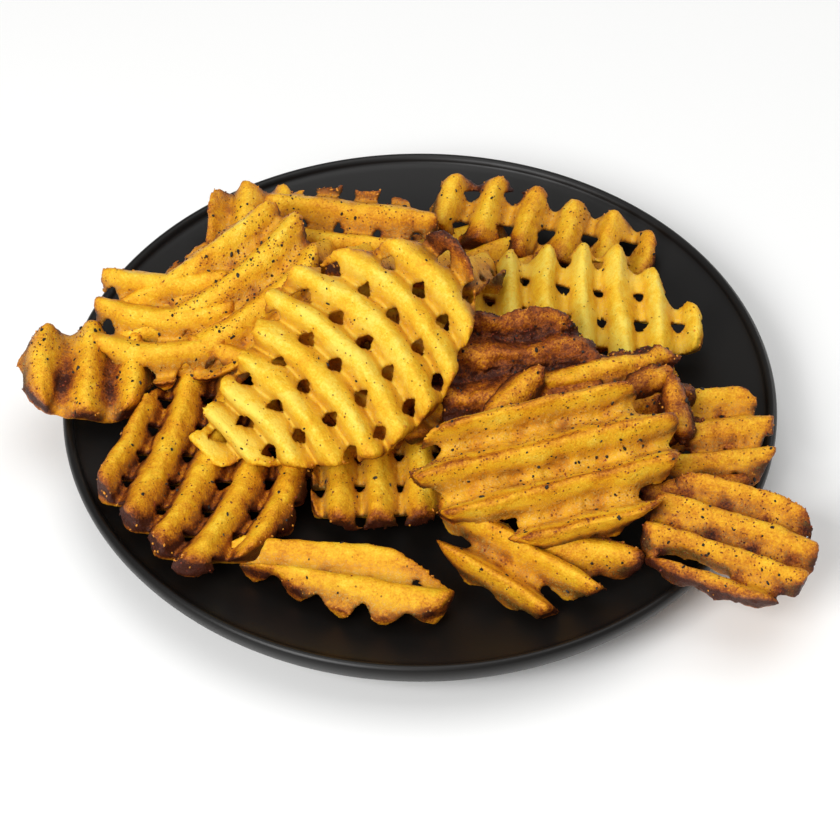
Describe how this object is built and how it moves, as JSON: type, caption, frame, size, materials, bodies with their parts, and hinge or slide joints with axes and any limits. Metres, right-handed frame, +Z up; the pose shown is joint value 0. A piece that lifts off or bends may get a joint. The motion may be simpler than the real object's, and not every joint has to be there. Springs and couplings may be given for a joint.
{
  "type": "waffle fries portion",
  "caption": "Seasoned waffle-cut potato fries heaped on a round, shallow black plate with a small rounded rim; some fries hang over the rim.",
  "frame": {"origin": "middle of the plate's flat foot, on the table", "axes": "+Z up; -Y towards the side from which the picture looks; +X to its right"},
  "size_m": [0.2054, 0.19, 0.0625],
  "materials": {
    "plate": "matte black glaze",
    "fried_potato": "fried crust"
  },
  "bodies": {
    "root": {"plate": "plate", "waffle_fries": "fried_potato"}
  },
  "joints": []
}
